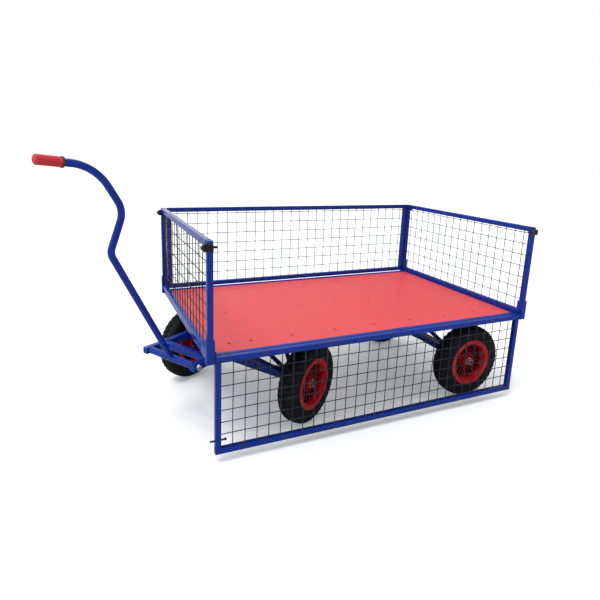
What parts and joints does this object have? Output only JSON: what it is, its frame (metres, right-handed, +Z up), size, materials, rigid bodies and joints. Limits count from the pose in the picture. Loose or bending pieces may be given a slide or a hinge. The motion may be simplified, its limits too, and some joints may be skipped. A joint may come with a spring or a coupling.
{
  "type": "turntable mesh trolley",
  "caption": "Four-wheel hand trolley with a turntable front bogie, a swan-neck pull handle, a flat deck and a wire mesh cage whose sides drop down.",
  "frame": {"origin": "on the floor, under the middle of the whole trolley as it stands in the picture, with the bogie turned and the near side down", "axes": "+X along the deck toward the back, away from the handle; +Z up; +Y to the far side, so the hanging side faces -Y"},
  "size_m": [2.3242, 1.0993, 1.261],
  "materials": {
    "blue_paint": "gloss royal blue powder coat",
    "deck_red": "red film-faced plywood, smooth",
    "mesh_grey": "dark grey coated welded wire",
    "tyre": "black pneumatic tyre",
    "rim_red": "red painted pressed rim",
    "zinc": "bright zinc plate",
    "black_steel": "black coated steel",
    "grip_red": "red rubber grip"
  },
  "bodies": {
    "chassis": {"deck_frame": "blue_paint", "deck_board": "deck_red", "deck_screws": "deck_red", "post_sockets": "blue_paint", "front_panel_frame": "blue_paint", "front_mesh_uprights": "mesh_grey", "front_mesh_crosswires": "mesh_grey", "rear_panel_frame": "blue_paint", "rear_mesh_uprights": "mesh_grey", "rear_mesh_crosswires": "mesh_grey", "latch_guides": "black_steel", "rear_axle": "blue_paint", "rear_stays": "blue_paint", "turntable_top": "blue_paint", "kingpin": "zinc", "kingpin_nut": "zinc", "rear_axle_nuts": "zinc", "turntable_bolts_top": "zinc"},
    "bogie": {"turntable_low": "blue_paint", "drawbar_frame": "blue_paint", "front_axle": "blue_paint", "front_stays": "blue_paint", "handle_bolt": "zinc", "handle_nut": "zinc", "front_axle_nuts": "zinc", "turntable_bolts_low": "zinc"},
    "handle": {"handle_tube": "blue_paint", "handle_grip": "grip_red", "grip_ring": "black_steel"},
    "near_panel": {"near_panel_frame": "blue_paint", "near_mesh_uprights": "mesh_grey", "near_mesh_crosswires": "mesh_grey", "near_hinge_pins": "zinc"},
    "far_panel": {"far_panel_frame": "blue_paint", "far_mesh_uprights": "mesh_grey", "far_mesh_crosswires": "mesh_grey", "far_hinge_pins": "zinc"},
    "spring_pin": {"panel_pin": "black_steel"},
    "latch_fn": {"latch_bolt_fn": "black_steel"},
    "latch_ff": {"latch_bolt_ff": "black_steel"},
    "latch_rn": {"latch_bolt_rn": "black_steel"},
    "latch_rf": {"latch_bolt_rf": "black_steel"},
    "wheel_fn": {"tyre_fn": "tyre", "rim_fn": "rim_red", "bearings_fn": "zinc"},
    "wheel_ff": {"tyre_ff": "tyre", "rim_ff": "rim_red", "bearings_ff": "zinc"},
    "wheel_rn": {"tyre_rn": "tyre", "rim_rn": "rim_red", "bearings_rn": "zinc"},
    "wheel_rf": {"tyre_rf": "tyre", "rim_rf": "rim_red", "bearings_rf": "zinc"}
  },
  "joints": [
    {"name": "steer", "type": "hinge", "parent": "chassis", "child": "bogie", "pos_m": [-0.27416, 0, 0.42], "axis": [0, 0, 1], "range_deg": [-76.5, 13.5]},
    {"name": "handle_tilt", "type": "hinge", "parent": "bogie", "child": "handle", "pos_m": [-0.69621, -0.25864, 0.385], "axis": [-0.5225, 0.8526, 0], "range_deg": [-75, 10]},
    {"name": "near_drop", "type": "hinge", "parent": "chassis", "child": "near_panel", "pos_m": [0.26584, -0.5285, 0.493], "axis": [-1, 0, 0], "range_deg": [0, 180]},
    {"name": "far_drop", "type": "hinge", "parent": "chassis", "child": "far_panel", "pos_m": [0.26584, 0.5285, 0.493], "axis": [-1, 0, 0], "range_deg": [0, 180]},
    {"name": "spring_pin_pull", "type": "slide", "parent": "near_panel", "child": "spring_pin", "axis": [1, 0, 0], "range_m": [0, 0.02], "stiffness_N_per_m": 400, "springref_m": -0.01},
    {"name": "latch_pull_fn", "type": "slide", "parent": "chassis", "child": "latch_fn", "axis": [-1, 0, 0], "range_m": [0, 0.018], "stiffness_N_per_m": 400, "springref_m": -0.01},
    {"name": "latch_pull_ff", "type": "slide", "parent": "chassis", "child": "latch_ff", "axis": [-1, 0, 0], "range_m": [0, 0.018], "stiffness_N_per_m": 400, "springref_m": -0.01},
    {"name": "latch_pull_rn", "type": "slide", "parent": "chassis", "child": "latch_rn", "axis": [1, 0, 0], "range_m": [0, 0.018], "stiffness_N_per_m": 400, "springref_m": -0.01},
    {"name": "latch_pull_rf", "type": "slide", "parent": "chassis", "child": "latch_rf", "axis": [1, 0, 0], "range_m": [0, 0.018], "stiffness_N_per_m": 400, "springref_m": -0.01},
    {"name": "wheel_spin_fn", "type": "hinge", "parent": "bogie", "child": "wheel_fn", "pos_m": [-0.06307, -0.34447, 0.2], "axis": [-0.5225, 0.8526, 0], "continuous": true},
    {"name": "wheel_spin_ff", "type": "hinge", "parent": "bogie", "child": "wheel_ff", "pos_m": [-0.48524, 0.34447, 0.2], "axis": [-0.5225, 0.8526, 0], "continuous": true},
    {"name": "wheel_spin_rn", "type": "hinge", "parent": "chassis", "child": "wheel_rn", "pos_m": [0.88584, -0.404, 0.2], "axis": [0, 1, 0], "continuous": true},
    {"name": "wheel_spin_rf", "type": "hinge", "parent": "chassis", "child": "wheel_rf", "pos_m": [0.88584, 0.404, 0.2], "axis": [0, 1, 0], "continuous": true}
  ]
}
